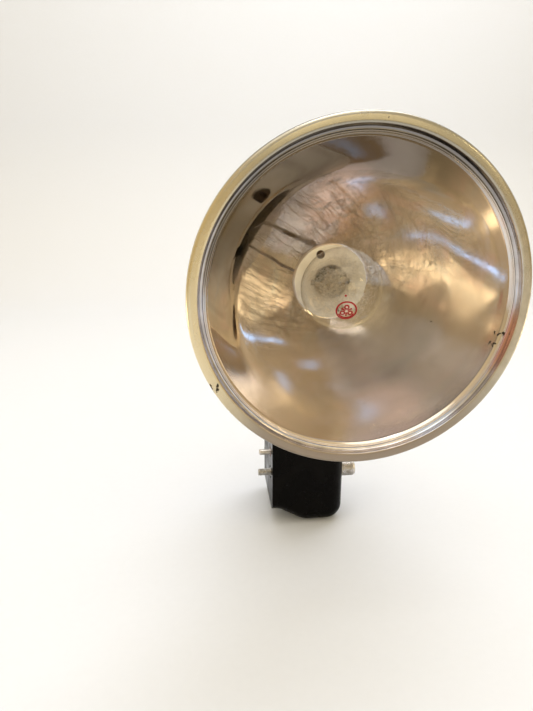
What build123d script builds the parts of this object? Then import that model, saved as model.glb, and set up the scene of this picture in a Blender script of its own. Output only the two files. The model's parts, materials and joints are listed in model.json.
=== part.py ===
"""Flash bulb gun for a box camera, in millimetres.

Frame: the origin is the axis of the mounting screw, on the face that lies against the camera's side.
+X points away from the camera, the reflector faces -Y and +Z is up. The optical axis runs along Y, high
in the case.
"""

import os
from math import cos, radians, sin, sqrt

from build123d import *

# ---------------------------------------------------------------- driving dimensions
WALL = 2.2  # moulded wall
FIT = 0.05  # radial clearance of a fixed fit
SLIDE = 0.25  # clearance of a moving or removable fit

CASE_W = 41.0
CASE_FRONT_Y = -10.0
SPLIT_Y = 26.0  # joint between case body and rear cover
CASE_BACK_Y = 34.0
CASE_BOTTOM_Z = -29.0
CASE_TOP_Z = 136.0
CHAMBER_X = 8.0  # left side of the battery column, beside the camera pad
PAD_LOW_Z = -21.0  # the pad that lies against the camera
PAD_HIGH_Z = 50.0
FRONT_ROUND = 7.0
BACK_ROUND = 5.5
SEAM = 0.3  # chamfer on both shells where they meet

AXIS_X = (CHAMBER_X + CASE_W) / 2
AXIS_Z = 113.0

RIM_R = 63.5  # reflector, 127 mm across
RIM_Y = -85.0
ROLL_R = 1.6  # rolled edge
BAND_R = 59.6  # inner edge of the flat band beside it
BOWL_R = 56.4
BOWL_MOUTH_Y = -82.6
STEEP_START_R = 42.0  # the bowl's outer zone is steeper than a paraboloid
STEEP_WIDTH = 10.0
STEEP_SLOPE = 0.7
SEAT_R = 17.0  # flat seat at the back of the bowl
SEAT_Y = -30.0
SHEET = 0.8

GLOBE_R = 17.2  # bulb
GLOBE_Y = SEAT_Y - 21.0
GLASS = 0.7
NECK_R = 7.0
NECK_ARC_R = 14.0
BASE_R = 7.5
BASE_FRONT_Y = -15.5
BASE_BACK_Y = 0.4
BAYONET_Y = -7.5

SOCKET_IN_R = 7.75
SOCKET_OUT_R = 8.5
SOCKET_BACK_Y = 7.6
SOCKET_BORE_R = 10.2

CELL_R = 13.1  # size C cell
CELL_H = 50.0
CELL_Y = 17.8
CELL_BOTTOM_Z = -21.0
CELL_STEP = CELL_H + 0.05
CELLS_TOP_Z = CELL_BOTTOM_Z + CELL_STEP + CELL_H

SCREW_R = 2.5
THREAD_R = 2.08
THREAD_LENGTH = 7.0
KNOB_R = 4.5
KNOB_START_X = 40.5
KNOB_END_X = 49.0
PIN_R = 1.6
PIN_TAIL_R = 1.4
PIN_Z = 12.7  # half an inch above the screw
PIN_LENGTH = 6.5

BUTTON_R = 6.0
BUTTON_BACK_Y = 40.5
ARM_IN = 5.0  # the ejector's arms, as distances from the optical axis
ARM_OUT = 7.0

COVER_SCREW_Z = 88.0
FLOOR_Z = -25.4  # flat step under the cells
INNER_FRONT_Y = CASE_FRONT_Y + WALL
INNER_RIGHT_X = CASE_W - WALL
PARTITION_X = CHAMBER_X + WALL
PEDESTAL_R = 14.5
PEDESTAL_Y = -14.0
FLANGE_SCREW_R = 12.2

parts = {}


# ---------------------------------------------------------------- helpers
def block(x0, x1, y0, y1, z0, z1):
    """Box between two corners."""
    size = Box(x1 - x0, y1 - y0, z1 - z0, align=(Align.MIN, Align.MIN, Align.MIN))
    return Pos(x0, y0, z0) * size


def rod_x(radius, x0, x1, y=0.0, z=0.0):
    """Cylinder along X."""
    return extrude(Plane(origin=(x0, y, z), z_dir=(1, 0, 0)) * Circle(radius), x1 - x0)


def rod_y(radius, y0, y1, x=AXIS_X, z=AXIS_Z):
    """Cylinder along Y, on the optical axis unless told otherwise."""
    return extrude(Plane(origin=(x, y0, z), z_dir=(0, 1, 0)) * Circle(radius), y1 - y0)


def rod_z(radius, z0, z1, x=AXIS_X, y=CELL_Y):
    """Cylinder along Z, on the cells' axis unless told otherwise."""
    return extrude(Plane(origin=(x, y, z0), z_dir=(0, 0, 1)) * Circle(radius), z1 - z0)


def turned(*edges):
    """Solid of revolution about the optical axis, from a closed profile given as (radius, y) edges."""
    profile = Plane(origin=(AXIS_X, 0, AXIS_Z), z_dir=(0, 0, 1)) * make_face(edges)
    return revolve(profile, Axis((AXIS_X, 0, AXIS_Z), (0, 1, 0)), 360)


def turned_polygon(*points):
    """Solid of revolution from straight edges only."""
    return turned(Polyline(*points, close=True))


def along(path, radius):
    """Round wire that follows a path."""
    return sweep(Plane(origin=path @ 0, z_dir=path % 0) * Circle(radius), path=path)


def coil(start, direction, radius, wire, height, turns, cone=0.0):
    """Compression spring: a wire of the given radius wound on a helix."""
    path = Helix(height / turns, height, radius, start, direction, cone)
    return along(path, wire)


def at_edge(part, y):
    """The edges of a part that lie in the plane of the given y."""
    return part.edges().filter_by_position(Axis.Y, y - 0.01, y + 0.01)


# ---------------------------------------------------------------- case
def outline(inset):
    """The case seen from the front, at a plane facing -Y: a column with a pad on the camera's side."""
    corners = [
        (0, PAD_LOW_Z),
        (4, PAD_LOW_Z),
        (18, CASE_BOTTOM_Z),
        (CASE_W, CASE_BOTTOM_Z),
        (CASE_W, CASE_TOP_Z),
        (CHAMBER_X, CASE_TOP_Z),
        (CHAMBER_X, PAD_HIGH_Z + 10),
        (4, PAD_HIGH_Z),
        (0, PAD_HIGH_Z),
    ]
    rounds = {1: 8.0, 2: 12.0, 3: 9.0, 4: 12.0, 5: 12.0, 6: 8.0, 7: 5.0}
    face = make_face(Polyline(*corners, close=True))
    for index, radius in rounds.items():
        x, z = corners[index]
        corner = face.vertices().sort_by_distance(Vector(x, z, 0))[0]
        face = fillet(corner, radius)
    return offset(face, -inset, kind=Kind.INTERSECTION) if inset else face


def slab(inset, y0, y1):
    """The outline, inset, from y0 to y1."""
    plane = Plane(origin=(0, y1, 0), x_dir=(1, 0, 0), z_dir=(0, -1, 0))
    return extrude(plane * outline(inset), y1 - y0)


def rounded_slab(inset, y0, y1, face_y, radius):
    """A slab with the edge of one face rounded, apart from its edge along the camera."""
    part = slab(inset, y0, y1)
    edges = at_edge(part, face_y).filter_by(lambda e: e.center().X > inset + 0.1)
    return fillet(edges, radius)


def make_case_body():
    """Front shell with the pad, battery bay, screw tunnel, shelf, cover pillar and round pedestal."""
    body = rounded_slab(0, CASE_FRONT_Y, SPLIT_Y, CASE_FRONT_Y, FRONT_ROUND)
    body = chamfer(at_edge(body, SPLIT_Y), SEAM)
    body -= rounded_slab(
        WALL, INNER_FRONT_Y, SPLIT_Y + 1, INNER_FRONT_Y, FRONT_ROUND - WALL
    )
    inside = slab(WALL - 0.2, INNER_FRONT_Y - 0.2, SPLIT_Y - 3.0)
    partition = block(CHAMBER_X, PARTITION_X, -9, SPLIT_Y - 3.0, -28, PAD_HIGH_Z + 14)
    tunnel = rod_x(4.0, 1, CASE_W - 1)
    cup = rod_x(5.6, 1, PARTITION_X)
    shelf = block(CHAMBER_X + 1, CASE_W - 1, 1, 12, CELLS_TOP_Z + 1.0, CELLS_TOP_Z + 3.0)
    pillar = rod_y(4.0, INNER_FRONT_Y - 1, SPLIT_Y - 0.5, z=COVER_SCREW_Z)
    step = block(CHAMBER_X + 1, CASE_W - 1, -9, SPLIT_Y - 3.0, -28, FLOOR_Z)
    ribs = [
        block(x, x + 1.6, -9, 1.5, 6, CELLS_TOP_Z - 4)
        for x in (PARTITION_X + 4, INNER_RIGHT_X - 5)
    ]
    for item in (partition, tunnel, cup, shelf, step, *ribs):
        body += item & inside
    body += pillar & slab(WALL - 0.2, INNER_FRONT_Y - 0.2, SPLIT_Y)
    pedestal = rod_y(PEDESTAL_R, PEDESTAL_Y, CASE_FRONT_Y + 2)
    body += fillet(at_edge(pedestal, PEDESTAL_Y), 0.6)
    body -= rod_y(SOCKET_BORE_R, PEDESTAL_Y - 1, INNER_FRONT_Y + 1)
    # the mounting screw's bore, its clip's counterbore and the knob's shallow seat
    body -= rod_x(SCREW_R + SLIDE, -1, CASE_W + 1)
    body -= rod_x(3.9, -1, THREAD_LENGTH + 0.4)
    body -= rod_x(KNOB_R + 1.0, CASE_W - 0.9, CASE_W + 1)
    body -= block(AXIS_X - 2.4, AXIS_X + 2.4, -2.4, 4.5, -5, 0)
    # contact pin, its lead, the cover screw's insert and the collar's two screws
    body -= rod_x(3.0 + FIT, -1, WALL + 1, z=PIN_Z)
    body -= block(CHAMBER_X - 1, PARTITION_X + 1, -7, -1.5, PIN_Z - 1.5, PIN_Z + 9)
    body -= rod_y(2.8 + FIT, SPLIT_Y - 11, SPLIT_Y, z=COVER_SCREW_Z)
    body -= rod_y(2.2, SPLIT_Y - 15, SPLIT_Y, z=COVER_SCREW_Z)
    for side in (-1, 1):
        z = AXIS_Z + side * FLANGE_SCREW_R
        body -= rod_y(1.1, PEDESTAL_Y - 1, INNER_FRONT_Y + 1, z=z)
    return body


def make_rear_cover():
    """Rear shell, with a lip that enters the body, a screw boss, a button collar and grip grooves."""
    cover = rounded_slab(0, SPLIT_Y, CASE_BACK_Y, CASE_BACK_Y, BACK_ROUND)
    cover = chamfer(at_edge(cover, SPLIT_Y), SEAM)
    inner_back = CASE_BACK_Y - WALL
    cover -= rounded_slab(WALL, SPLIT_Y - 1, inner_back, inner_back, BACK_ROUND - WALL)
    lip_in = WALL + 1.3
    cover += slab(WALL - 0.1, SPLIT_Y, SPLIT_Y + 2) - slab(lip_in, SPLIT_Y - 1, SPLIT_Y + 3)
    lip_out = WALL + SLIDE
    cover += slab(lip_out, SPLIT_Y - 2.5, SPLIT_Y + 1) - slab(lip_in, SPLIT_Y - 3, SPLIT_Y + 2)
    cover += rod_y(4.0, SPLIT_Y + 0.1, inner_back + 1, z=COVER_SCREW_Z)
    collar = rod_y(BUTTON_R + 3.0, CASE_BACK_Y - 1, CASE_BACK_Y + 1.4)
    cover += fillet(at_edge(collar, CASE_BACK_Y + 1.4), 0.7)
    cover -= rod_y(BUTTON_R + 0.4, SPLIT_Y, CASE_BACK_Y + 3)
    cover -= rod_y(2.1, SPLIT_Y - 1, CASE_BACK_Y + 1, z=COVER_SCREW_Z)
    cover -= rod_y(4.6, CASE_BACK_Y - 1.4, CASE_BACK_Y + 1, z=COVER_SCREW_Z)
    cover -= block(12.9, 37.1, CASE_BACK_Y - 0.6, CASE_BACK_Y + 1, 9.9, 70.1)
    for step in range(6):
        z = CASE_BOTTOM_Z + 11 + step * 3.4
        groove = rod_x(0.9, 14, 36, y=CASE_BACK_Y + 0.15, z=z)
        cover -= groove
    return cover


parts["case_body"] = make_case_body()
parts["rear_cover"] = make_rear_cover()


# ---------------------------------------------------------------- cover fastening and guide plate
def make_cover_screw():
    """Coin-slotted screw."""
    head_y = CASE_BACK_Y - 1.3
    screw = fillet(
        at_edge(rod_y(4.3, head_y, head_y + 2.4, z=COVER_SCREW_Z), head_y + 2.4), 0.5
    )
    screw += rod_y(1.8, SPLIT_Y - 12, head_y, z=COVER_SCREW_Z)
    slot = block(-5, 5, head_y + 1.3, head_y + 3, -0.7, 0.7)
    return screw - Pos(AXIS_X, 0, COVER_SCREW_Z) * slot


def make_guide_plate():
    """Thin metal exposure-guide plate, riveted into a shallow recess in the cover."""
    plate = block(13, 37, CASE_BACK_Y - 0.55, CASE_BACK_Y - 0.1, 10, 70)
    plate = fillet(plate.edges().filter_by(Axis.Y), 1.5)
    for x, z in ((16, 13), (34, 67)):
        plate -= rod_y(0.7, CASE_BACK_Y - 2, CASE_BACK_Y + 1, x, z)
    return plate


def make_guide_rivets():
    """Two small dome-headed drive pins."""
    pins = []
    for x, z in ((16, 13), (34, 67)):
        head = rod_y(1.3, CASE_BACK_Y - 0.08, CASE_BACK_Y + 0.5, x, z)
        head = fillet(at_edge(head, CASE_BACK_Y + 0.5), 0.4)
        pins.append(head + rod_y(0.65, CASE_BACK_Y - 0.55, CASE_BACK_Y, x, z))
    return Compound(children=pins)


parts["cover_screw"] = make_cover_screw()
parts["cover_screw_insert"] = rod_y(2.8, SPLIT_Y - 10.8, SPLIT_Y - 0.6, z=COVER_SCREW_Z) - rod_y(
    1.9, SPLIT_Y - 12, SPLIT_Y, z=COVER_SCREW_Z
)
parts["guide_plate"] = make_guide_plate()
parts["guide_plate_rivets"] = make_guide_rivets()


# ---------------------------------------------------------------- reflector
def bowl_rise(radius):
    """How far the bowl has risen from its seat, before it is scaled: a paraboloid, then a steeper zone."""
    round_part = (radius**2 - SEAT_R**2) / (BOWL_R**2 - SEAT_R**2) * (SEAT_Y - BOWL_MOUTH_Y)
    share = min(1.0, max(0.0, (radius - STEEP_START_R) / STEEP_WIDTH))
    past = max(0.0, radius - STEEP_START_R - STEEP_WIDTH)
    return round_part + STEEP_SLOPE * (STEEP_WIDTH * (share**3 - share**4 / 2) + past)


def bowl_y(radius):
    """The bowl's inner surface, from its seat to its mouth."""
    return SEAT_Y + bowl_rise(radius) / bowl_rise(BOWL_R) * (BOWL_MOUTH_Y - SEAT_Y)


def bowl_curve(gap):
    """The bowl's inner curve, or its outer one a gap further out."""
    points = []
    for step in range(15):
        radius = SEAT_R + (BOWL_R - SEAT_R) * step / 14
        slope = (bowl_y(radius + 0.01) - bowl_y(radius - 0.01)) / 0.02
        length = sqrt(1 + slope**2)
        points.append((radius - gap * slope / length, bowl_y(radius) + gap / length))
    return Spline(*points)


def make_reflector():
    """Spun bowl with a flat drilled seat, a bead, a groove, a flat front band and a rolled edge."""
    inner, outer = bowl_curve(0), bowl_curve(SHEET)
    hole = SOCKET_OUT_R + 0.7
    bead = (BOWL_R + 1.2, BOWL_MOUTH_Y)
    step = (BAND_R - 0.7, BOWL_MOUTH_Y)
    band = (BAND_R, RIM_Y)
    roll_x = RIM_R - ROLL_R
    roll_back = (roll_x, RIM_Y + 2 * ROLL_R)
    shoulder = (BOWL_R + 1.4, RIM_Y + 2 * ROLL_R)
    foot = (outer @ 0).X
    bowl = turned(
        Line((hole, SEAT_Y), inner @ 0),
        inner,
        ThreePointArc(inner @ 1, (BOWL_R + 0.6, BOWL_MOUTH_Y - 0.7), bead),
        Line(bead, step),
        Line(step, band),
        Line(band, (roll_x, RIM_Y)),
        ThreePointArc((roll_x, RIM_Y), (RIM_R, RIM_Y + ROLL_R), roll_back),
        Line(roll_back, shoulder),
        Line(shoulder, outer @ 1),
        outer,
        Line(outer @ 0, (foot, SEAT_Y + SHEET)),
        Line((foot, SEAT_Y + SHEET), (hole, SEAT_Y + SHEET)),
        Line((hole, SEAT_Y + SHEET), (hole, SEAT_Y)),
    )
    return bowl - rivet_holes(0.9 + FIT)


def rivet_places():
    """Two rivets across the seat, the first at eleven o'clock."""
    return [
        (AXIS_X + 13.4 * cos(radians(a)), AXIS_Z + 13.4 * sin(radians(a)))
        for a in (112, 292)
    ]


def rivet_holes(radius):
    """Cutters for the rivets' holes."""
    return [rod_y(radius, SEAT_Y - 3, SEAT_Y + 4, x, z) for x, z in rivet_places()]


def make_reflector_rivets():
    """Tubular rivets with a rolled head on the bright ring."""
    rivets = []
    head_y = SEAT_Y - SHEET
    for x, z in rivet_places():
        head = rod_y(1.9, head_y - 0.6, head_y - 0.02, x, z)
        head = fillet(at_edge(head, head_y - 0.6), 0.45)
        tail = rod_y(1.6, SEAT_Y + SHEET + 1.02, SEAT_Y + SHEET + 1.5, x, z)
        shank = rod_y(0.9, head_y - 0.5, SEAT_Y + SHEET + 1.3, x, z)
        hollow = rod_y(0.55, head_y - 1, head_y + 1.0, x, z)
        rivets.append(head + shank + tail - hollow)
    return Compound(children=rivets)


def make_collar():
    """Metal neck between the case's pedestal and the reflector's seat."""
    front = SEAT_Y + SHEET
    collar = turned_polygon(
        (SOCKET_BORE_R, front),
        (16.4, front),
        (16.4, front + 1.0),
        (11.6, front + 1.0),
        (11.2, front + 1.4),
        (11.2, PEDESTAL_Y - 1.2),
        (14.0, PEDESTAL_Y - 1.0),
        (14.0, PEDESTAL_Y),
        (SOCKET_BORE_R, PEDESTAL_Y),
    )
    for side in (-1, 1):
        z = AXIS_Z + side * FLANGE_SCREW_R
        collar -= rod_y(1.1, PEDESTAL_Y - 2, PEDESTAL_Y + 1, z=z)
        collar -= rod_y(1.7, PEDESTAL_Y - 6, PEDESTAL_Y - 1.0, z=z)
    return collar - rivet_holes(0.9 + FIT)


def make_collar_screws():
    """Two screws that clamp the collar, the case and the ejector bracket together."""
    screws = []
    for side in (-1, 1):
        z = AXIS_Z + side * FLANGE_SCREW_R
        head = rod_y(1.6, PEDESTAL_Y - 2.2, PEDESTAL_Y - 1.02, z=z)
        head = fillet(at_edge(head, PEDESTAL_Y - 2.2), 0.4)
        head -= Pos(AXIS_X, 0, z) * block(
            -2, 2, PEDESTAL_Y - 3, PEDESTAL_Y - 1.7, -0.25, 0.25
        )
        screws.append(head + rod_y(1.0, PEDESTAL_Y - 1.1, INNER_FRONT_Y + 3.2, z=z))
    return Compound(children=screws)


parts["reflector"] = make_reflector()
parts["seat_ring"] = (
    rod_y(16.6, SEAT_Y - SHEET, SEAT_Y) - rod_y(9.2, SEAT_Y - 2, SEAT_Y + 1)
) - rivet_holes(0.9 + FIT)
parts["reflector_rivets"] = make_reflector_rivets()
parts["collar"] = make_collar()
parts["collar_screws"] = make_collar_screws()


# ---------------------------------------------------------------- lamp socket
INSULATOR_Y = 5.0
BRACKET_Y = 24.6
YOKE_Y = 22.4


def make_socket_shell():
    """Bayonet socket: a tube with a flared lip and two long slots for the lamp's pins."""
    lip_y = SEAT_Y - SHEET - 0.05
    shell = rod_y(SOCKET_OUT_R, lip_y - 0.8, SOCKET_BACK_Y)
    shell += rod_y(9.9, lip_y - 0.8, lip_y)
    shell -= rod_y(SOCKET_IN_R, lip_y - 2, SOCKET_BACK_Y + 1)
    shell -= rod_y(SOCKET_OUT_R, lip_y - 2, lip_y - 0.4)
    slots = block(-12, 12, lip_y - 2, BAYONET_Y + 2.0, -1.3, 1.3)
    return shell - Pos(AXIS_X, 0, AXIS_Z) * slots


def make_socket_insulator():
    """Fibre disc that carries the centre contact and lets the ejector's arms through."""
    disc = rod_y(SOCKET_IN_R - FIT, INSULATOR_Y, SOCKET_BACK_Y - 0.1)
    disc -= rod_y(1.0 + FIT, 0, 20)
    for side in (-1, 1):
        notch = block(-2.4, 2.4, 4, 9, ARM_IN - 0.3, ARM_OUT + 1.5)
        disc -= Pos(AXIS_X, 0, AXIS_Z) * (notch if side > 0 else Rot(0, 180, 0) * notch)
    return disc


def make_snap_ring():
    """Open wire ring that holds the lamp's pins behind it."""
    ring_y = BAYONET_Y - 1.6
    ring = revolve(
        Plane(origin=(AXIS_X, 0, AXIS_Z)) * Pos(SOCKET_OUT_R + 0.5, ring_y) * Circle(0.45),
        Axis((AXIS_X, 0, AXIS_Z), (0, 1, 0)),
        310,
    )
    return Pos(AXIS_X, 0, AXIS_Z) * Rot(0, 65, 0) * Pos(-AXIS_X, 0, -AXIS_Z) * ring


def make_centre_contact():
    """Sprung plunger under the lamp's tip, with a retaining collar behind the disc."""
    plunger = fillet(at_edge(rod_y(2.2, 1.25, 2.4), 1.25), 0.5)
    plunger += rod_y(1.0, 2.3, 10.6)
    return plunger + rod_y(1.8, 9.2, 9.8)


def make_contact_tag():
    """Solder tag behind the insulating disc."""
    y0 = SOCKET_BACK_Y + 0.05
    tag = rod_y(3.2, y0, y0 + 0.35)
    tag += block(AXIS_X - 10.5, AXIS_X, y0, y0 + 0.35, AXIS_Z - 1.2, AXIS_Z + 1.2)
    return tag - rod_y(1.0 + FIT, 0, 20)


parts["socket_shell"] = make_socket_shell()
parts["socket_insulator"] = make_socket_insulator()
parts["socket_snap_ring"] = make_snap_ring()
parts["centre_contact"] = make_centre_contact()
parts["centre_contact_spring"] = coil(
    (AXIS_X, 2.75, AXIS_Z), (0, 1, 0), 1.6, 0.25, INSULATOR_Y - 3.1, 3
)
parts["centre_contact_tag"] = make_contact_tag()


# ---------------------------------------------------------------- ejector
def make_bracket():
    """Bent steel strip: two feet on the front wall, two legs and a back plate that guides the rod."""
    leg_in, leg_out = 14.2, 15.2
    plate = block(-4.5, 4.5, BRACKET_Y, BRACKET_Y + 1, -leg_out, leg_out)
    plate -= rod_y(2.5 + SLIDE, BRACKET_Y - 1, BRACKET_Y + 2, 0, 0)
    for side in (1, -1):
        leg = block(-4.5, 4.5, INNER_FRONT_Y, BRACKET_Y + 1, leg_in, leg_out)
        foot = block(-4.5, 4.5, INNER_FRONT_Y, INNER_FRONT_Y + 1, SOCKET_BORE_R + 0.4, leg_out)
        foot -= rod_y(1.0 + FIT, -20, 0, 0, FLANGE_SCREW_R)
        leg += foot
        plate += leg if side > 0 else Rot(0, 180, 0) * leg
    return Pos(AXIS_X, 0, AXIS_Z) * plate


def make_ejector_fork():
    """Yoke with two arms that reach through the disc to the lamp's base, and the rod of the button."""
    fork = block(-4, 4, YOKE_Y, YOKE_Y + 2, -ARM_OUT, ARM_OUT)
    fork = fillet(fork.edges().filter_by(Axis.Y), 1.5)
    for side in (-1, 1):
        low = min(side * ARM_IN, side * ARM_OUT)
        fork += block(-2, 2, BASE_BACK_Y + 0.5, YOKE_Y + 1, low, low + ARM_OUT - ARM_IN)
    fork += rod_y(2.5, YOKE_Y + 1, 36.5, 0, 0)
    return Pos(AXIS_X, 0, AXIS_Z) * fork


def make_button():
    """Round push button on the rod, slightly domed, with a grooved thumb face."""
    button = rod_y(BUTTON_R, 32.5, BUTTON_BACK_Y)
    button = fillet(at_edge(button, BUTTON_BACK_Y), 1.4)
    for radius in (1.8, 3.4):
        ring = rod_y(radius + 0.35, BUTTON_BACK_Y - 0.3, BUTTON_BACK_Y + 1)
        button -= ring - rod_y(radius - 0.35, BUTTON_BACK_Y - 1, BUTTON_BACK_Y + 2)
    return button - rod_y(2.5 + FIT, 30, 36.6)


parts["ejector_bracket"] = make_bracket()
parts["ejector_fork"] = make_ejector_fork()
parts["ejector_button"] = make_button()
parts["ejector_spring_washer"] = rod_y(4.7, 8.1, 8.5) - rod_y(2.4, 7, 9)
parts["ejector_spring"] = coil(
    (AXIS_X, 8.9, AXIS_Z), (0, 1, 0), 4.1, 0.35, YOKE_Y - 9.35, 6
)


# ---------------------------------------------------------------- lamp
def glass_edges(inset):
    """Bulb curve from the neck to the pole: a straight neck, a tangent arc and the globe."""
    neck_r = NECK_R - inset
    arc_r = NECK_ARC_R + inset
    globe_r = GLOBE_R - inset
    arc_x = neck_r + arc_r
    rise = sqrt((globe_r + arc_r) ** 2 - arc_x**2)
    centre = Vector(arc_x, GLOBE_Y + rise)
    globe = Vector(0, GLOBE_Y)
    meet = globe + (centre - globe).normalized() * globe_r
    half = (Vector(-1, 0) + (globe - centre).normalized()).normalized() * arc_r
    side = (meet - globe).normalized() + Vector(0, -1)
    neck_end = (neck_r, centre.Y)
    return neck_end, [
        ThreePointArc(neck_end, centre + half, meet),
        ThreePointArc(meet, globe + side.normalized() * globe_r, (0, GLOBE_Y - globe_r)),
    ]


def make_bulb_glass():
    """Clear blown globe with an open neck."""
    outer_end, outer = glass_edges(0)
    inner_end, inner = glass_edges(GLASS)
    neck_y = BASE_FRONT_Y + 2.0
    pole = GLOBE_Y - GLOBE_R
    return turned(
        Line((NECK_R, neck_y), outer_end),
        *outer,
        Line((0, pole), (0, pole + GLASS)),
        *inner,
        Line(inner_end, (NECK_R - GLASS, neck_y)),
        Line((NECK_R - GLASS, neck_y), (NECK_R, neck_y)),
    )


def make_bulb_base():
    """Brass bayonet cap with two side pins."""
    cap = turned_polygon(
        (BASE_R - 0.4, BASE_FRONT_Y),
        (BASE_R, BASE_FRONT_Y),
        (BASE_R, BASE_BACK_Y - 0.8),
        (BASE_R - 0.8, BASE_BACK_Y),
        (4.6, BASE_BACK_Y),
        (4.6, BASE_BACK_Y - 0.5),
        (BASE_R - 0.9, BASE_BACK_Y - 0.5),
        (BASE_R - 0.4, BASE_BACK_Y - 1.0),
    )
    for side in (-1, 1):
        x = AXIS_X + side * (BASE_R + 0.25)
        cap += Pos(x, BAYONET_Y, AXIS_Z) * Rot(0, 90, 0) * Cylinder(1.0, 1.3)
    return cap


PINCH_Y = BASE_FRONT_Y - 12.0
LEAD_R = 0.22
LEAD_X = 1.1
LEAD_TIP_Y = PINCH_Y - 12.0
LEAD_TIP_X = 3.4


def make_bulb_stem():
    """Glass flare and pinch that seal the neck and carry the two lead wires."""
    stem = turned_polygon(
        (0, BASE_FRONT_Y + 1.0),
        (5.6, BASE_FRONT_Y + 1.0),
        (5.6, BASE_FRONT_Y),
        (2.2, BASE_FRONT_Y - 5.0),
        (1.8, PINCH_Y + 0.5),
        (0, PINCH_Y),
    )
    for side in (-1, 1):
        stem -= rod_y(LEAD_R + FIT, PINCH_Y - 1, PINCH_Y + 4, AXIS_X + side * LEAD_X)
    return stem


def make_bulb_leads():
    """Two bent support wires that come out of the pinch."""
    wires = []
    for side in (-1, 1):
        near, far = AXIS_X + side * LEAD_X, AXIS_X + side * LEAD_TIP_X
        path = FilletPolyline(
            (near, PINCH_Y + 3.9, AXIS_Z),
            (near, PINCH_Y - 2, AXIS_Z),
            (far, PINCH_Y - 8, AXIS_Z),
            (far, LEAD_TIP_Y, AXIS_Z),
            radius=2.0,
        )
        wires.append(along(path, LEAD_R))
    return Compound(children=wires)


def make_primer_beads():
    """Beads of primer paste on the tips of the lead wires."""
    bead = Pos(AXIS_X, LEAD_TIP_Y - 0.95, AXIS_Z) * Sphere(0.9)
    return Compound(children=[Pos(side * LEAD_TIP_X, 0, 0) * bead for side in (-1, 1)])


def make_bulb_wool():
    """Space filled by the shredded foil, hollow round the lead wires."""
    ball = Pos(AXIS_X, GLOBE_Y, AXIS_Z) * Sphere(GLOBE_R - GLASS - 1.2)
    ball -= rod_y(5.6, GLOBE_Y - 4, GLOBE_Y + 20)
    return ball & rod_y(20, GLOBE_Y - 20, GLOBE_Y + 9.5)


parts["bulb_glass"] = make_bulb_glass()
parts["bulb_base"] = make_bulb_base()
parts["bulb_base_insulator"] = turned_polygon(
    (0, BASE_BACK_Y - 2.0),
    (4.5, BASE_BACK_Y - 2.0),
    (4.5, BASE_BACK_Y),
    (2.6, BASE_BACK_Y + 0.4),
    (0, BASE_BACK_Y + 0.4),
)
parts["bulb_tip"] = fillet(
    at_edge(rod_y(2.2, BASE_BACK_Y + 0.42, BASE_BACK_Y + 0.8), BASE_BACK_Y + 0.8), 0.3
)
parts["bulb_stem"] = make_bulb_stem()
parts["bulb_leads"] = make_bulb_leads()
parts["bulb_primer_beads"] = make_primer_beads()
parts["bulb_wool"] = make_bulb_wool()


# ---------------------------------------------------------------- mounting screw and contact pin
def make_screw_shaft():
    """Plain shaft with a clip groove near the camera's end."""
    shaft = rod_x(SCREW_R, 0, KNOB_START_X + 6)
    return shaft - (rod_x(3, 1.6, 2.4) - rod_x(1.6, 1, 3))


def make_thumb_knob():
    """Ribbed knob: shallow rings round it, a rounded end and a coin slot."""
    knob = rod_x(KNOB_R, KNOB_START_X, KNOB_END_X)
    end = knob.edges().filter_by_position(Axis.X, KNOB_END_X - 0.01, KNOB_END_X + 0.01)
    knob = fillet(end, 1.3)
    for step in range(5):
        x = KNOB_START_X + 1.1 + step * 1.15
        knob -= rod_x(KNOB_R + 1, x, x + 0.45) - rod_x(KNOB_R - 0.3, x - 1, x + 2)
    knob -= block(KNOB_END_X - 1.2, KNOB_END_X + 1, -KNOB_R, KNOB_R, -0.6, 0.6)
    return knob - rod_x(SCREW_R + FIT, KNOB_START_X - 1, KNOB_START_X + 6.1)


def make_screw_clip():
    """Open retaining clip that keeps the screw captive in the case."""
    clip = rod_x(3.4, 1.72, 2.28) - rod_x(1.7, 1, 3)
    return clip - block(1, 3, -1.5, 1.5, -5, 0)


def make_contact_pin():
    """Plain pin beside the screw, with a thinner threaded tail for its nut."""
    pin = rod_x(PIN_R, -PIN_LENGTH, 0, z=PIN_Z)
    tip = pin.edges().filter_by_position(Axis.X, -PIN_LENGTH - 0.01, -PIN_LENGTH + 0.01)
    return fillet(tip, 0.7) + rod_x(PIN_TAIL_R, -0.5, 5.6, z=PIN_Z)


def make_pin_bush():
    """Fibre bush that keeps the pin clear of the case's wall."""
    bush = rod_x(3.0, 0, WALL + 0.1, z=PIN_Z) + rod_x(4.2, WALL + 0.02, WALL + 1.2, z=PIN_Z)
    return bush - rod_x(PIN_TAIL_R + FIT, -1, 9, z=PIN_Z)


def make_pin_nut():
    """Hexagon nut that clamps the pin, its bush and the lead's tag."""
    x0 = WALL + 1.6
    hexagon = Plane(origin=(x0, 0, PIN_Z), z_dir=(1, 0, 0)) * RegularPolygon(2.9, 6)
    return extrude(hexagon, 1.4) - rod_x(PIN_TAIL_R + FIT, x0 - 1, x0 + 3, z=PIN_Z)


parts["screw_shaft"] = make_screw_shaft()
thread = rod_x(THREAD_R, -THREAD_LENGTH, 0)
thread_end = thread.edges().filter_by_position(Axis.X, -THREAD_LENGTH - 0.01, -THREAD_LENGTH + 0.01)
parts["screw_thread"] = chamfer(thread_end, 0.4)
parts["thumb_knob"] = make_thumb_knob()
parts["screw_clip"] = make_screw_clip()
parts["contact_pin"] = make_contact_pin()
parts["contact_pin_bush"] = make_pin_bush()
parts["contact_pin_nut"] = make_pin_nut()
parts["contact_pin_tag"] = (
    rod_x(3.0, WALL + 1.22, WALL + 1.57, z=PIN_Z)
    + block(WALL + 1.22, WALL + 1.57, -5.5, 0, PIN_Z - 1, PIN_Z + 1)
) - rod_x(PIN_TAIL_R + FIT, 0, 9, z=PIN_Z)


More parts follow.
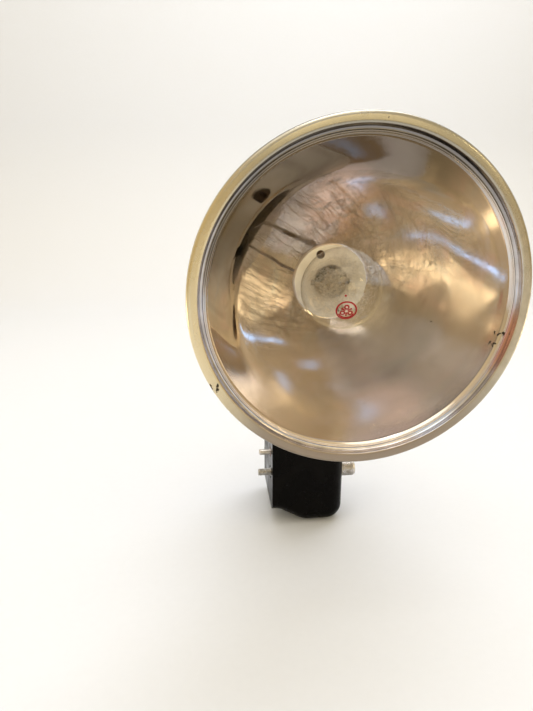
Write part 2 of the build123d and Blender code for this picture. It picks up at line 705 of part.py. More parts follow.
# ---------------------------------------------------------------- cells and contacts
def add_cell(name, bottom):
    """Dry cell: zinc can, filling, card jacket, top seal and brass cap."""
    can_r = CELL_R - 0.32
    seal_z = bottom + CELL_H - 2.3
    shoulder_z = bottom + CELL_H - 1.5
    top_z = bottom + CELL_H
    filling = rod_z(can_r - 0.42, bottom + 0.42, seal_z - 0.02)
    parts[f"{name}_cell_filling"] = filling
    parts[f"{name}_cell_can"] = rod_z(can_r, bottom, seal_z - 0.02) - rod_z(
        can_r - 0.4, bottom + 0.4, seal_z
    )
    parts[f"{name}_cell_jacket"] = rod_z(CELL_R, bottom + 0.4, shoulder_z) - rod_z(
        CELL_R - 0.3, bottom - 1, top_z
    )
    seal = rod_z(can_r, seal_z, shoulder_z - 0.1)
    parts[f"{name}_cell_seal"] = seal - rod_z(3.9, seal_z - 1, top_z)
    cap = rod_z(3.85, seal_z, shoulder_z) + rod_z(2.9, shoulder_z - 0.1, top_z)
    cap_edge = cap.edges().filter_by_position(Axis.Z, top_z - 0.01, top_z + 0.01)
    parts[f"{name}_cell_cap"] = fillet(cap_edge, 0.4)


add_cell("lower", CELL_BOTTOM_Z)
add_cell("upper", CELL_BOTTOM_Z + CELL_STEP)


def make_negative_strip():
    """Brass strip: pad under the spring, a standing leg and a leaf against the screw."""
    low, high = FLOOR_Z + 0.05, FLOOR_Z + 0.5
    left, right = AXIS_X - 2, AXIS_X + 2
    leaf_z = -SCREW_R - 0.05
    strip = block(AXIS_X - 7.5, AXIS_X + 7.5, CELL_Y - 7, SPLIT_Y - 3.2, low, high)
    strip += block(left, right, 3.4, CELL_Y, low, high)
    strip += block(left, right, 3.4, 3.85, low, leaf_z)
    return strip + block(left, right, -1.5, 3.85, leaf_z - 0.45, leaf_z)


def make_positive_strip():
    """Brass strip: leaf over the upper cell's cap, fixed under the shelf, and a leg up to the socket."""
    low = CELLS_TOP_Z + 0.12
    high = low + 0.45
    left, right = AXIS_X - 10.5, AXIS_X - 6
    strip = block(left, AXIS_X + 3, CELL_Y - 3, CELL_Y + 3, low, high)
    strip += block(left, right, -0.6, CELL_Y, low, high)
    strip += block(left, right, -0.6, -0.15, low, AXIS_Z - 6.2)
    hole = rod_z(0.9, low - 1, high + 1, left + 2.2, 7)
    return strip - hole


parts["negative_spring"] = coil(
    (AXIS_X, CELL_Y, FLOOR_Z + 0.95), (0, 0, 1), 5.0, 0.4, CELL_BOTTOM_Z - FLOOR_Z - 1.45, 3
)
parts["negative_strip"] = make_negative_strip()
parts["positive_strip"] = make_positive_strip()
parts["positive_strip_rivet"] = rod_z(
    1.6, CELLS_TOP_Z - 0.45, CELLS_TOP_Z + 0.1, AXIS_X - 8.3, 7
) + rod_z(0.85, CELLS_TOP_Z, CELLS_TOP_Z + 0.95, AXIS_X - 8.3, 7)


def make_lead_wire():
    """Insulated lead from the centre contact's tag down to the contact pin's tag."""
    path = FilletPolyline(
        (AXIS_X - 9.6, SOCKET_BACK_Y + 1.2, AXIS_Z + 0.4),
        (AXIS_X - 11.6, 8.0, 106),
        (AXIS_X - 12.4, 1.6, 98),
        (AXIS_X - 12.2, -4.4, 88),
        (AXIS_X - 12.5, -4.6, 66),
        (AXIS_X - 12.2, -4.2, 44),
        (AXIS_X - 12.5, -4.6, 26),
        (AXIS_X - 13.0, -4.4, 17.5),
        (AXIS_X - 18.0, -4.7, 14),
        (WALL + 2.2, -4.7, PIN_Z),
        radius=[2.6, 3.4, 3.6, 8, 8, 6, 2.2, 1.6],
    )
    return along(path, 0.65)


parts["lead_wire"] = make_lead_wire()

# ---------------------------------------------------------------- export
os.makedirs("parts", exist_ok=True)
for name, shape in parts.items():
    export_step(shape, f"parts/{name}.step")
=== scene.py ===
"""Looks of the flash bulb gun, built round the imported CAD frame. Sizes are in millimetres."""

import json
import math
import random

import bpy
import numpy as np
from mathutils import Euler, Matrix, Vector, noise


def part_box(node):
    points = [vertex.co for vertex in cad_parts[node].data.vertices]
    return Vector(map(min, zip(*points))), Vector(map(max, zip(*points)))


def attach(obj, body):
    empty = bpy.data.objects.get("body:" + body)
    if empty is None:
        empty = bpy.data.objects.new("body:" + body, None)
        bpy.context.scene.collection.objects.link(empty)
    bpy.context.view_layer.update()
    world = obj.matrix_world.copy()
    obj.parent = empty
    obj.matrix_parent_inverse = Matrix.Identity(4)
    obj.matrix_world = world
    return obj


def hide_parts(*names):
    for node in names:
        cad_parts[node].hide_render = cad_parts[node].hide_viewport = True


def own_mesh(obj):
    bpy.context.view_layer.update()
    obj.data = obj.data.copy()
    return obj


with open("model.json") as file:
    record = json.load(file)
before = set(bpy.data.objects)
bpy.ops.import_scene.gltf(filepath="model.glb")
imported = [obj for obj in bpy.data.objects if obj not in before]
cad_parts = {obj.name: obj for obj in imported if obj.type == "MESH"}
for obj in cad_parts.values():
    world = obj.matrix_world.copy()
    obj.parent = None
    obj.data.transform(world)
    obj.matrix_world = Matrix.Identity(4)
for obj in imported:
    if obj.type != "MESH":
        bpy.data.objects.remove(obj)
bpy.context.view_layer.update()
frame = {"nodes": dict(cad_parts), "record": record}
MM = 0.001

# ---------------------------------------------------------------- places and sizes taken from the frame
ring_low, ring_high = (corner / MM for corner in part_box("seat_ring"))
AXIS_X = (ring_low.x + ring_high.x) / 2
AXIS_Z = (ring_low.z + ring_high.z) / 2
SEAT_Y = ring_high.y
rim_low, rim_high = (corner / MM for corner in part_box("reflector"))
RIM_R = (rim_high.x - rim_low.x) / 2
RIM_Y = rim_low.y
globe_low, globe_high = (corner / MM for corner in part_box("bulb_glass"))
GLOBE_R = (globe_high.x - globe_low.x) / 2
GLOBE_Y = globe_low.y + GLOBE_R
NECK_END_Y = globe_high.y
case_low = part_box("case_body")[0] / MM
knob_low, knob_high = (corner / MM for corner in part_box("thumb_knob"))
thread_low, thread_high = (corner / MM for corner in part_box("screw_thread"))
plate_low, plate_high = (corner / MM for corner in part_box("guide_plate"))

# reflector profile
ROLL_R = 1.6
BAND_R = 59.6  # inner edge of the flat front band
BOWL_R = 56.4
MOUTH_Y = RIM_Y + 2.4
STEEP_START_R = 42.0  # the bowl's outer zone is steeper than a paraboloid
STEEP_WIDTH = 10.0
STEEP_SLOPE = 0.7
SEAT_R = 17.0
SHEET = 0.8
SEAT_HOLE_R = 9.2
GROOVE_R = 58.3  # middle of the groove between bowl and band

# lamp
GLASS = 0.7
NECK_R = 7.0
NECK_ARC_R = 14.0
WOOL_STRANDS = 330
WOOL_R = 0.025
CURL_STRANDS = 60  # the coarser strands among the wool
CURL_R = 0.040


# ---------------------------------------------------------------- mesh helpers
def new_piece(name, vertices, faces, material, body, replaces=(), smooth=True):
    """A mesh piece in the row frame, from millimetre vertices, that rides on a body."""
    mesh = bpy.data.meshes.new(name)
    mesh.from_pydata([tuple(Vector(v) * MM) for v in vertices], [], faces)
    mesh.update()
    for polygon in mesh.polygons:
        polygon.use_smooth = smooth
    piece = bpy.data.objects.new(name, mesh)
    bpy.context.scene.collection.objects.link(piece)
    mesh.materials.append(material)
    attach(piece, body)
    if replaces:
        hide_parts(*replaces)
    return piece


def ring_grid(rings, sides, closed):
    """Quads between neighbouring rings of a shape; closed joins the last ring to the first."""
    faces = []
    count = rings if closed else rings - 1
    for i in range(count):
        a, b = i * sides, ((i + 1) % rings) * sides
        for j in range(sides):
            k = (j + 1) % sides
            faces.append((a + j, a + k, b + k, b + j))
    return faces


def turned_y(profile, sides, shape=None):
    """Vertices and faces of a closed (radius, y) profile turned round the optical axis."""
    vertices = []
    for radius, y in profile:
        for j in range(sides):
            angle = 2 * math.pi * j / sides
            offset = shape(radius, angle) if shape else (0.0, 0.0)
            r = radius + offset[0]
            vertices.append((AXIS_X + r * math.cos(angle), y + offset[1], AXIS_Z + r * math.sin(angle)))
    return vertices, ring_grid(len(profile), sides, True)


def turned_x(profile, sides):
    """Vertices and faces of a closed (radius, x) profile turned round the mounting screw's axis."""
    vertices = []
    for radius, x in profile:
        for j in range(sides):
            angle = 2 * math.pi * j / sides
            vertices.append((x, radius * math.cos(angle), radius * math.sin(angle)))
    return vertices, ring_grid(len(profile), sides, True)


def arc(centre, radius, start, end, steps):
    """Points on an arc, with angles in degrees."""
    return [
        (
            centre[0] + radius * math.cos(math.radians(start + (end - start) * i / steps)),
            centre[1] + radius * math.sin(math.radians(start + (end - start) * i / steps)),
        )
        for i in range(steps + 1)
    ]


def tubes(lines, radius, sides):
    """Vertices and faces of round wires, capped, that follow lists of points."""
    vertices, faces = [], []
    for line in lines:
        points = np.array(line, float)
        tangents = np.gradient(points, axis=0)
        tangents /= np.linalg.norm(tangents, axis=1)[:, None] + 1e-12
        side = np.cross(tangents[0], (0.31, 0.77, 0.55))
        side /= np.linalg.norm(side)
        start = len(vertices)
        for point, tangent in zip(points, tangents):
            side = side - tangent * np.dot(side, tangent)
            side /= np.linalg.norm(side)
            up = np.cross(tangent, side)
            for j in range(sides):
                angle = 2 * math.pi * j / sides
                vertices.append(point + radius * (math.cos(angle) * side + math.sin(angle) * up))
        faces += [tuple(start + i for i in face) for face in ring_grid(len(points), sides, False)]
        end = start + (len(points) - 1) * sides
        faces.append(tuple(start + j for j in reversed(range(sides))))
        faces.append(tuple(end + j for j in range(sides)))
    return vertices, faces


# ---------------------------------------------------------------- material helpers
def add(tree, kind, inputs=None, **settings):
    """A shader node with its settings and inputs; an input is a value or another node's socket."""
    made = tree.nodes.new(kind)
    for key, value in settings.items():
        setattr(made, key, value)
    for key, value in (inputs or {}).items():
        if isinstance(value, bpy.types.NodeSocket):
            tree.links.new(value, made.inputs[key])
        else:
            made.inputs[key].default_value = value
    return made


def start_material(name):
    """A material with its node tree, its shader and the object's own coordinates in millimetres."""
    material = bpy.data.materials.new(name)
    material.use_nodes = True
    tree = material.node_tree
    shader = tree.nodes["Principled BSDF"]
    where = add(tree, "ShaderNodeTexCoord").outputs["Object"]
    scaled = add(tree, "ShaderNodeVectorMath", {0: where, "Scale": 1 / MM}, operation="SCALE")
    return material, tree, shader, scaled.outputs["Vector"]


def speckle(tree, where, size, detail=3.0, distortion=0.0):
    """Noise from 0 to 1 whose blobs are about size millimetres across."""
    inputs = {"Vector": where, "Scale": 1 / size, "Detail": detail, "Distortion": distortion}
    return add(tree, "ShaderNodeTexNoise", inputs).outputs["Fac"]


def span(tree, value, low, high, to_low, to_high):
    """Value's range low to high mapped smoothly to another range."""
    inputs = {"Value": value, "From Min": low, "From Max": high, "To Min": to_low, "To Max": to_high}
    return add(tree, "ShaderNodeMapRange", inputs, interpolation_type="SMOOTHSTEP").outputs["Result"]


def maths(tree, operation, a, b=0.0, c=0.0):
    """One step of arithmetic."""
    return add(tree, "ShaderNodeMath", {0: a, 1: b, 2: c}, operation=operation).outputs[0]


def tint(tree, factor, colour_a, colour_b, blend="MIX"):
    """Mix of two colours."""
    made = add(tree, "ShaderNodeMix", data_type="RGBA", blend_type=blend)
    for index, value in ((0, factor), (6, colour_a), (7, colour_b)):
        if isinstance(value, bpy.types.NodeSocket):
            tree.links.new(value, made.inputs[index])
        else:
            made.inputs[index].default_value = (*value, 1.0) if index else value
    return made.outputs[2]


def relief(tree, shader, height, depth, strength=1.0, under=None):
    """Bump of the given depth in millimetres."""
    inputs = {"Height": height, "Distance": depth * MM, "Strength": strength}
    if under is not None:
        inputs["Normal"] = under
    bump = add(tree, "ShaderNodeBump", inputs)
    tree.links.new(bump.outputs["Normal"], shader.inputs["Normal"])
    return bump.outputs["Normal"]


def uneven_surface(tree, shader, patches, fine, rough, depth):
    """Roughness that differs from patch to patch, and a fine grain."""
    uneven = maths(tree, "ADD", span(tree, patches, 0.3, 0.7, *rough), maths(tree, "MULTIPLY", fine, 0.06))
    tree.links.new(uneven, shader.inputs["Roughness"])
    relief(tree, shader, fine, depth, 0.6)


def plain_finish(name, colour, worn, rough, metallic=0.0, patch=9.0, grain=0.5, depth=0.02, specular=0.5):
    """Everyday finish: patches between two colours, uneven roughness and a fine grain."""
    material, tree, shader, where = start_material(name)
    patches = speckle(tree, where, patch, 5.0, 0.6)
    fine = speckle(tree, where, grain, 4.0)
    shader.inputs["Metallic"].default_value = metallic
    shader.inputs["Specular IOR Level"].default_value = specular
    colour_mix = tint(tree, span(tree, patches, 0.38, 0.68, 0.0, 1.0), colour, worn)
    tree.links.new(colour_mix, shader.inputs["Base Color"])
    uneven_surface(tree, shader, patches, fine, rough, depth)
    return material


def axis_distance(tree, where):
    """Distance from the optical axis, in millimetres, and its parts along X and Z."""
    split = add(tree, "ShaderNodeSeparateXYZ", {0: where})
    x = maths(tree, "SUBTRACT", split.outputs["X"], AXIS_X)
    z = maths(tree, "SUBTRACT", split.outputs["Z"], AXIS_Z)
    squares = maths(tree, "ADD", maths(tree, "MULTIPLY", x, x), maths(tree, "MULTIPLY", z, z))
    return maths(tree, "SQRT", squares), x, z


def near_spot(tree, x, z, angle, radius, reach):
    """1 at a place on the bowl, given by its angle and radius, fading to 0 at reach."""
    dx = maths(tree, "SUBTRACT", x, radius * math.cos(math.radians(angle)))
    dz = maths(tree, "SUBTRACT", z, radius * math.sin(math.radians(angle)))
    squares = maths(tree, "ADD", maths(tree, "MULTIPLY", dx, dx), maths(tree, "MULTIPLY", dz, dz))
    return span(tree, maths(tree, "SQRT", squares), reach * 0.3, reach, 1.0, 0.0)


# ---------------------------------------------------------------- materials
def spun_aluminium():
    """Spun aluminium, duller below, with spinning lines and dark chips; its darker upper part, shaded outer
    zone and tinted patches on bowl, groove and band are painted reflections, highlights and shade.

    The places and tints of the patches are chosen for the look of the bowl in its room.
    """
    material, tree, shader, where = start_material("spun_aluminium")
    radius, x, z = axis_distance(tree, where)
    safe_radius = maths(tree, "MAXIMUM", radius, 1.0)
    turn = {0: maths(tree, "DIVIDE", x, safe_radius), 1: maths(tree, "DIVIDE", z, safe_radius)}
    turn[2] = maths(tree, "MULTIPLY", radius, 0.11)
    swirl = add(tree, "ShaderNodeCombineXYZ", turn).outputs[0]
    streaks = speckle(tree, swirl, 0.55, 5.0, 0.9)
    haze = speckle(tree, where, 26.0, 3.0, 0.8)
    clouds = speckle(tree, where, 8.0, 5.0, 1.2)
    turned = add(tree, "ShaderNodeCombineXYZ", {0: radius})
    lines = speckle(tree, turned.outputs[0], 0.30, 3.0)
    rim = span(tree, radius, BOWL_R + 0.9, BOWL_R + 1.5, 0.0, 1.0)
    band = maths(tree, "MULTIPLY", rim, span(tree, radius, BAND_R - 0.3, BAND_R + 0.1, 0.0, 1.0))

    leaning = maths(tree, "MULTIPLY_ADD", x, -0.35, z)
    wander = maths(tree, "ADD", leaning, span(tree, haze, 0.3, 0.7, -9.0, 9.0))
    upper = span(tree, wander, 14.0, 58.0, 0.0, 1.0)
    dusty = span(tree, wander, -38.0, 2.0, 1.0, 0.0)
    worn = span(tree, streaks, 0.35, 0.65, 0.0, 1.0)
    bowl_colour = tint(tree, worn, (0.74, 0.685, 0.65), (0.65, 0.59, 0.55))
    film = speckle(tree, where, 19.0, 2.0, 1.5)
    bowl_colour = tint(tree, span(tree, film, 0.55, 0.68, 0.0, 0.5), bowl_colour, (0.78, 0.62, 0.59))
    bowl_colour = tint(tree, span(tree, film, 0.32, 0.45, 0.5, 0.0), bowl_colour, (0.63, 0.65, 0.68))
    # painted dark reflection: the bowl's colour is darkened towards its top
    bowl_colour = tint(tree, upper, bowl_colour, (0.225, 0.193, 0.175))
    bowl_colour = tint(tree, maths(tree, "MULTIPLY", dusty, 0.8), bowl_colour, (0.74, 0.655, 0.58))
    outer = span(tree, radius, 45.0, 50.0, 0.0, 1.0)
    shaded = maths(tree, "MULTIPLY", outer, span(tree, leaning, 14.0, 42.0, 0.0, 0.85))
    bowl_colour = tint(tree, shaded, bowl_colour, (0.25, 0.225, 0.20))
    cloudy = span(tree, clouds, 0.35, 0.7, 0.0, 1.0)
    groove_colour = tint(tree, cloudy, (0.62, 0.59, 0.60), (0.48, 0.455, 0.46))
    band_colour = tint(tree, cloudy, (0.556, 0.493, 0.382), (0.469, 0.414, 0.316))
    # painted dark reflection: the groove's colour darkens towards its top
    groove_colour = tint(tree, span(tree, z, 5.0, 50.0, 0.0, 0.9), groove_colour, (0.19, 0.18, 0.175))
    # painted shade and light on the flat band: darker at its top and bottom, browner below, lighter and
    # creamier at the left
    ends = span(tree, maths(tree, "ABSOLUTE", z), 18.0, 58.0, 0.0, 0.85)
    band_colour = tint(tree, ends, band_colour, (0.36, 0.345, 0.30))
    band_colour = tint(tree, span(tree, z, -58.0, -25.0, 0.8, 0.0), band_colour, (0.29, 0.22, 0.16))
    band_colour = tint(tree, span(tree, x, -62.0, -35.0, 0.8, 0.0), band_colour, (0.84, 0.70, 0.43))
    # painted reflection: a red tint on the groove at the right
    painted_red_reflection = near_spot(tree, x, z, -16, GROOVE_R, 17.0)
    groove_colour = tint(tree, maths(tree, "MULTIPLY", painted_red_reflection, 0.8), groove_colour, (0.62, 0.30, 0.25))
    # painted highlight: a blue tint on the groove at the lower right
    painted_blue_highlight = near_spot(tree, x, z, -58, GROOVE_R, 13.0)
    groove_colour = tint(tree, maths(tree, "MULTIPLY", painted_blue_highlight, 0.8), groove_colour, (0.66, 0.76, 0.98))
    # painted highlight: a lighter patch on the bowl at the lower right
    bowl_colour = tint(tree, near_spot(tree, x, z, -42, 36.0, 24.0), bowl_colour, (0.84, 0.78, 0.72))
    # painted shade: a slightly darker patch on the bowl's outer zone at the lower right
    bowl_colour = tint(tree, near_spot(tree, x, z, -62, 52.0, 20.0), bowl_colour, (0.68, 0.625, 0.58))
    # painted reflection: a broken pink patch on the bowl above the seat
    broken = span(tree, clouds, 0.35, 0.55, 0.3, 1.0)
    painted_pink_reflection = maths(tree, "MULTIPLY", near_spot(tree, x, z, 92, 32.0, 20.0), broken)
    bowl_colour = tint(tree, painted_pink_reflection, bowl_colour, (0.86, 0.66, 0.58))
    colour = tint(tree, rim, bowl_colour, groove_colour)
    colour = tint(tree, band, colour, band_colour)
    colour = tint(tree, span(tree, lines, 0.58, 0.75, 0.0, 0.35), colour, (0.31, 0.285, 0.26))

    specks = speckle(tree, where, 1.5, 6.0, 0.4)
    chips = 0.0
    for angle, at_r, reach, cut in ((-14, 56.0, 3.2, 0.57), (-19, 55.2, 2.8, 0.585), (209, 62.4, 4.5, 0.54)):
        spot = maths(tree, "MULTIPLY", near_spot(tree, x, z, angle, at_r, reach), specks)
        chips = maths(tree, "MAXIMUM", span(tree, spot, cut - 0.07, cut, 0.0, 1.0), chips)
    pits = span(tree, speckle(tree, where, 2.4, 2.0), 0.775, 0.80, 0.0, 0.75)
    chips = maths(tree, "MAXIMUM", chips, pits)
    colour = tint(tree, chips, colour, (0.05, 0.038, 0.028))
    tree.links.new(colour, shader.inputs["Base Color"])

    shader.inputs["Metallic"].default_value = 1.0
    rough = span(tree, streaks, 0.35, 0.7, 0.015, 0.055)
    rough = maths(tree, "ADD", rough, maths(tree, "MULTIPLY", dusty, 0.10))
    rough = maths(tree, "ADD", rough, span(tree, clouds, 0.45, 0.75, 0.0, 0.04))
    rough = maths(tree, "ADD", rough, maths(tree, "MULTIPLY", band, 0.22))
    rough = maths(tree, "ADD", rough, maths(tree, "MULTIPLY", chips, 0.35))
    tree.links.new(rough, shader.inputs["Roughness"])
    soft = relief(tree, shader, streaks, 0.025, 0.5)
    relief(tree, shader, lines, 0.003, 0.6, soft)
    return material


def moulded_black():
    """Polished black moulded plastic with a faint ripple, fine scratches and handling haze."""
    material, tree, shader, where = start_material("moulded_black")
    haze = speckle(tree, where, 16.0, 5.0, 0.8)
    ripple = speckle(tree, where, 7.0, 2.0)
    turned = {"Vector": where, "Rotation": (0.3, 0.5, 0.7), "Scale": (5.0, 0.12, 0.5)}
    stretched = add(tree, "ShaderNodeMapping", turned)
    scratches = speckle(tree, stretched.outputs[0], 1.0, 4.0)
    shader.inputs["Specular IOR Level"].default_value = 0.06
    hazy = span(tree, haze, 0.4, 0.7, 0.0, 1.0)
    colour = tint(tree, hazy, (0.0016, 0.0013, 0.0011), (0.0034, 0.0028, 0.0024))
    colour = tint(tree, span(tree, scratches, 0.66, 0.74, 0.0, 0.5), colour, (0.022, 0.019, 0.017))
    tree.links.new(colour, shader.inputs["Base Color"])
    scratched = span(tree, scratches, 0.6, 0.75, 0.0, 0.18)
    rough = maths(tree, "ADD", span(tree, haze, 0.3, 0.7, 0.20, 0.34), scratched)
    tree.links.new(rough, shader.inputs["Roughness"])
    soft = relief(tree, shader, ripple, 0.04, 0.5)
    relief(tree, shader, scratches, 0.008, 0.3, soft)
    return material


def satin_nickel():
    """Satin nickel, browner in random patches, with a painted highlight that makes it lighter near the upper
    left of the reflector's seat and leaves it browner elsewhere.
    """
    material, tree, shader, where = start_material("satin_nickel")
    x, z = axis_distance(tree, where)[1:]
    patches = speckle(tree, where, 6.0, 5.0, 0.6)
    fine = speckle(tree, where, 0.4, 4.0)
    shader.inputs["Metallic"].default_value = 1.0
    aged = tint(tree, span(tree, patches, 0.38, 0.68, 0.0, 1.0), (0.66, 0.60, 0.50), (0.55, 0.495, 0.41))
    # painted highlight: lighter and creamier near the upper left of the seat
    colour = tint(tree, near_spot(tree, x, z, 140, 21.0, 25.0), aged, (0.97, 0.88, 0.71))
    tree.links.new(colour, shader.inputs["Base Color"])
    uneven_surface(tree, shader, patches, fine, (0.26, 0.42), 0.02)
    return material


def thin_glass():
    """Blown glass as one thin skin: it mirrors a little, more at a glancing angle, and has faint smears."""
    material, tree, shader, where = start_material("clear_glass")
    facing = add(tree, "ShaderNodeLayerWeight", {"Blend": 0.5}).outputs["Facing"]
    glancing = maths(tree, "POWER", facing, 4.0)
    smears = speckle(tree, where, 5.0, 4.0, 1.0)
    cover = maths(tree, "MULTIPLY_ADD", glancing, 0.80, 0.045)
    cover = maths(tree, "ADD", cover, span(tree, smears, 0.5, 0.8, 0.0, 0.035))
    tree.links.new(cover, shader.inputs["Alpha"])
    tree.links.new(span(tree, smears, 0.45, 0.8, 0.01, 0.16), shader.inputs["Roughness"])
    colour = tint(tree, smears, (0.93, 0.88, 0.74), (0.86, 0.82, 0.68))
    tree.links.new(colour, shader.inputs["Base Color"])
    shader.inputs["Metallic"].default_value = 1.0
    relief(tree, shader, speckle(tree, where, 8.0, 1.0), 0.05, 0.5)
    return material


def card_jacket():
    """Printed card round a cell: two bands of colour and a pale line, scuffed. No lettering."""
    material, tree, shader, where = start_material("card_jacket")
    height = add(tree, "ShaderNodeSeparateXYZ", {0: where}).outputs["Z"]
    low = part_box("lower_cell_jacket")[0].z / MM
    pitch = (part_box("upper_cell_jacket")[0].z / MM) - low
    level = maths(tree, "FRACT", maths(tree, "DIVIDE", maths(tree, "SUBTRACT", height, low), pitch))
    scuffs = speckle(tree, where, 2.0, 6.0, 0.8)
    colour = tint(tree, span(tree, level, 0.615, 0.62, 0.0, 1.0), (0.32, 0.035, 0.03), (0.022, 0.022, 0.026))
    above_line = span(tree, level, 0.63, 0.635, 1.0, 0.0)
    line = maths(tree, "MULTIPLY", span(tree, level, 0.595, 0.6, 0.0, 1.0), above_line)
    colour = tint(tree, line, colour, (0.72, 0.66, 0.50))
    colour = tint(tree, span(tree, scuffs, 0.62, 0.72, 0.0, 0.6), colour, (0.42, 0.36, 0.28))
    tree.links.new(colour, shader.inputs["Base Color"])
    tree.links.new(span(tree, scuffs, 0.4, 0.7, 0.35, 0.7), shader.inputs["Roughness"])
    relief(tree, shader, scuffs, 0.04, 0.5)
    return material


looks = {
    "case": moulded_black(),
    "reflector": spun_aluminium(),
    "glass": thin_glass(),
    "jacket": card_jacket(),
    "satin_steel": satin_nickel(),
    "bright_steel": plain_finish(
        "bright_zinc", (0.62, 0.60, 0.57), (0.42, 0.40, 0.37), (0.22, 0.38), 1.0, 3.0, 0.3
    ),
    "spring_steel": plain_finish(
        "spring_wire", (0.42, 0.41, 0.40), (0.26, 0.24, 0.22), (0.28, 0.45), 1.0, 2.0, 0.2
    ),
    "nickel": plain_finish(
        "worn_nickel", (0.68, 0.65, 0.62), (0.46, 0.42, 0.37), (0.22, 0.36), 1.0, 3.0, 0.3, 0.012
    ),
    "rivet_brass": plain_finish(
        "tarnished_brass", (0.13, 0.085, 0.05), (0.05, 0.035, 0.025), (0.35, 0.6), 1.0, 1.2, 0.2
    ),
    "brass": plain_finish("strip_brass", (0.62, 0.44, 0.19), (0.38, 0.25, 0.11), (0.24, 0.42), 1.0, 4.0, 0.3),
    "solder": plain_finish("solder", (0.46, 0.46, 0.45), (0.30, 0.30, 0.29), (0.35, 0.55), 1.0, 1.0, 0.3),
    "fibre": plain_finish(
        "vulcanised_fibre", (0.16, 0.055, 0.03), (0.09, 0.03, 0.018), (0.55, 0.75), 0.0, 3.0, 0.3
    ),
    "insulator": plain_finish(
        "black_glass", (0.012, 0.012, 0.013), (0.03, 0.028, 0.026), (0.15, 0.4), 0.0, 3.0, 0.4
    ),
    "wool": plain_finish(
        "shredded_foil", (0.95, 0.84, 0.66), (0.42, 0.36, 0.26), (0.30, 0.45), 0.25, 1.2, 0.2, 0.002
    ),
    "primer": plain_finish(
        "primer_paste", (0.30, 0.19, 0.11), (0.17, 0.10, 0.06), (0.7, 0.9), 0.0, 0.8, 0.2, 0.05
    ),
    "button": plain_finish(
        "button_plastic", (0.016, 0.015, 0.016), (0.035, 0.033, 0.031), (0.22, 0.38), 0.0, 5.0, 0.4
    ),
    "plate": plain_finish(
        "plate_enamel", (0.030, 0.030, 0.032), (0.055, 0.052, 0.048), (0.35, 0.5), 0.0, 7.0, 0.3
    ),
    "zinc": plain_finish("zinc_can", (0.40, 0.40, 0.41), (0.27, 0.27, 0.27), (0.4, 0.6), 1.0, 4.0, 0.4),
    "filling": plain_finish(
        "depolariser", (0.02, 0.02, 0.02), (0.04, 0.04, 0.04), (0.8, 0.95), 0.0, 2.0, 0.3
    ),
    "wire": plain_finish(
        "wire_insulation", (0.018, 0.017, 0.016), (0.04, 0.036, 0.032), (0.45, 0.65), 0.0, 3.0, 0.3
    ),
}
red_ink = plain_finish(
    "red_ink", (0.40, 0.002, 0.010), (0.26, 0.003, 0.010), (0.45, 0.6), 0.0, 1.0, 0.2, 0.004, 0.2
)
pale_ink = plain_finish("pale_ink", (0.62, 0.58, 0.48), (0.45, 0.42, 0.34), (0.5, 0.65), 0.0, 2.0, 0.2, 0.004)

for subpart in frame["record"]["subparts"]:
    mesh = frame["nodes"][subpart["node"]].data
    mesh.materials.clear()
    mesh.materials.append(looks[subpart["material_slot"]])


# ---------------------------------------------------------------- reflector
def bowl_rise(radius):
    """How far the bowl has risen from its seat, before it is scaled: a paraboloid, then a steeper zone."""
    round_part = (radius**2 - SEAT_R**2) / (BOWL_R**2 - SEAT_R**2) * (SEAT_Y - MOUTH_Y)
    share = min(1.0, max(0.0, (radius - STEEP_START_R) / STEEP_WIDTH))
    past = max(0.0, radius - STEEP_START_R - STEEP_WIDTH)
    return round_part + STEEP_SLOPE * (STEEP_WIDTH * (share**3 - share**4 / 2) + past)


def bowl_y(radius):
    """The bowl's inner surface, from its seat to its mouth."""
    return SEAT_Y + bowl_rise(radius) / bowl_rise(BOWL_R) * (MOUTH_Y - SEAT_Y)


def bowl_line(gap, steps):
    """The bowl's curve, moved outwards by gap along its normal."""
    points = []
    for i in range(steps + 1):
        radius = SEAT_R + (BOWL_R - SEAT_R) * (i / steps)
        slope = (bowl_y(radius + 0.01) - bowl_y(radius - 0.01)) / 0.02
        length = math.sqrt(1 + slope**2)
        points.append((radius - gap * slope / length, bowl_y(radius) + gap / length))
    return points


def spun_error(radius, angle):
    """How a spun bowl differs from a true one: long shallow waves that fade at its seat and its mouth."""
    fade = min(1.0, max(0.0, (radius - SEAT_R) / 8)) * min(1.0, max(0.0, (BOWL_R - radius) / 5))
    long_way = Vector((math.cos(angle), math.sin(angle), radius * 0.035)) * 1.9
    wave = noise.noise(long_way) * 0.05 + noise.noise(long_way * 2.3 + Vector((7, 3, 1))) * 0.02
    return (0.0, wave * fade)


